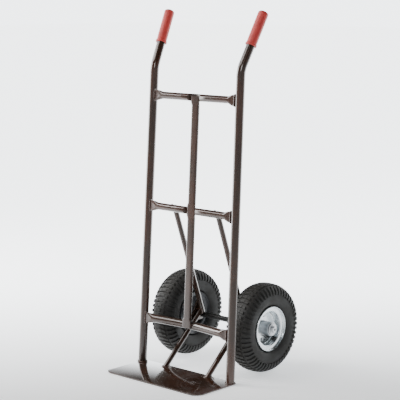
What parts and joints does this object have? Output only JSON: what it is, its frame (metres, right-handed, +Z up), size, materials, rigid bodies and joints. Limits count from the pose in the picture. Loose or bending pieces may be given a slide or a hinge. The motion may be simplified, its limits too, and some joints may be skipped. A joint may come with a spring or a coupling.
{
  "type": "hand truck",
  "caption": "Upright two-wheeled hand truck: tube frame with crossbars, flat toe plate, braced axle, pneumatic wheels and two straight hand grips.",
  "frame": {"origin": "on the floor, under the centre of the whole truck's bounding box", "axes": "+Z up, +X to the truck's right, -Y to its front, where the toe plate reaches under the load"},
  "size_m": [0.3902, 0.45, 1.04],
  "materials": {
    "bronze_paint": "glossy dark bronze-brown paint",
    "black_steel": "satin black",
    "grip_red": "soft satin",
    "tyre": "matt, slightly dusty",
    "tube_rubber": "matt",
    "rim_silver": "bright silver",
    "zinc": "zinc plated",
    "bearing_steel": "ground",
    "black_plastic": "matt"
  },
  "bodies": {
    "frame": {"axle": "black_steel", "centre_upright": "bronze_paint", "left_axle_bracket": "bronze_paint", "left_axle_cap": "zinc", "left_axle_spacer": "zinc", "left_axle_washer": "zinc", "left_grip": "grip_red", "left_inboard_bearing_inner_ring": "bearing_steel", "left_lower_strut": "bronze_paint", "left_outboard_bearing_inner_ring": "bearing_steel", "left_rail": "bronze_paint", "left_upper_strut": "bronze_paint", "lower_crossbar": "bronze_paint", "middle_crossbar": "bronze_paint", "right_axle_bracket": "bronze_paint", "right_axle_cap": "zinc", "right_axle_spacer": "zinc", "right_axle_washer": "zinc", "right_grip": "grip_red", "right_inboard_bearing_inner_ring": "bearing_steel", "right_lower_strut": "bronze_paint", "right_outboard_bearing_inner_ring": "bearing_steel", "right_rail": "bronze_paint", "right_upper_strut": "bronze_paint", "toe_plate": "bronze_paint", "top_crossbar": "bronze_paint"},
    "left_wheel": {"left_hub_tube": "zinc", "left_inboard_bearing_outer_ring": "bearing_steel", "left_inner_tube": "tube_rubber", "left_outboard_bearing_outer_ring": "bearing_steel", "left_rim_bolt_1": "zinc", "left_rim_bolt_2": "zinc", "left_rim_bolt_3": "zinc", "left_rim_bolt_4": "zinc", "left_rim_inner_half": "rim_silver", "left_rim_nut_1": "zinc", "left_rim_nut_2": "zinc", "left_rim_nut_3": "zinc", "left_rim_nut_4": "zinc", "left_rim_outer_half": "rim_silver", "left_tyre": "tyre", "left_valve_cap": "black_plastic", "left_valve_stem": "black_plastic"},
    "right_wheel": {"right_hub_tube": "zinc", "right_inboard_bearing_outer_ring": "bearing_steel", "right_inner_tube": "tube_rubber", "right_outboard_bearing_outer_ring": "bearing_steel", "right_rim_bolt_1": "zinc", "right_rim_bolt_2": "zinc", "right_rim_bolt_3": "zinc", "right_rim_bolt_4": "zinc", "right_rim_inner_half": "rim_silver", "right_rim_nut_1": "zinc", "right_rim_nut_2": "zinc", "right_rim_nut_3": "zinc", "right_rim_nut_4": "zinc", "right_rim_outer_half": "rim_silver", "right_tyre": "tyre", "right_valve_cap": "black_plastic", "right_valve_stem": "black_plastic"}
  },
  "joints": [
    {"name": "left_wheel_spin", "type": "hinge", "parent": "frame", "child": "left_wheel", "pos_m": [-0.148, 0.095, 0.13], "axis": [1, 0, 0], "continuous": true},
    {"name": "right_wheel_spin", "type": "hinge", "parent": "frame", "child": "right_wheel", "pos_m": [0.148, 0.095, 0.13], "axis": [1, 0, 0], "continuous": true}
  ]
}
